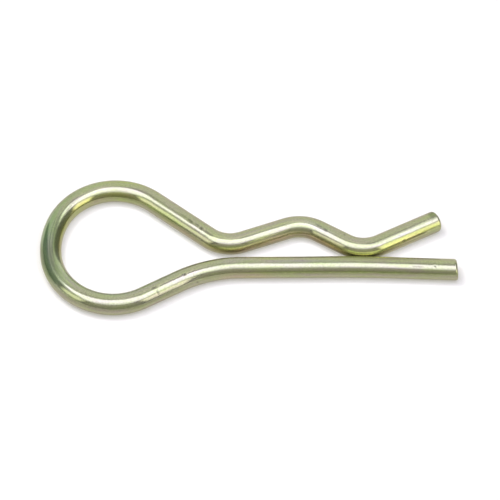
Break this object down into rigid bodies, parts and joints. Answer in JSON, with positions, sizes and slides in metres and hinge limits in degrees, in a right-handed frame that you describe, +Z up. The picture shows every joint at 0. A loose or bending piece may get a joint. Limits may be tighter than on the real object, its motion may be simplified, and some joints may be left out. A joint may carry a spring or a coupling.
{
  "type": "hitch r clip pin",
  "caption": "Spring wire clip that locks a hitch pin: a straight leg goes through the pin's cross hole, a humped leg closes over its side, and a round loop gives the spring and the finger hold.",
  "frame": {"origin": "middle of the clip's outline in plan, on the surface it lies on, 2 mm below the wire's axis", "axes": "+X along the straight leg from the loop towards the two wire ends, +Y from the straight leg towards the humped leg, +Z up, square to the flat of the clip"},
  "size_m": [0.0768, 0.0288, 0.004],
  "materials": {
    "yellow_zinc_wire": "bright zinc plate with a thin yellow-green chromate, drawn wire beneath"
  },
  "bodies": {
    "root": {"r_clip": "yellow_zinc_wire"}
  },
  "joints": []
}
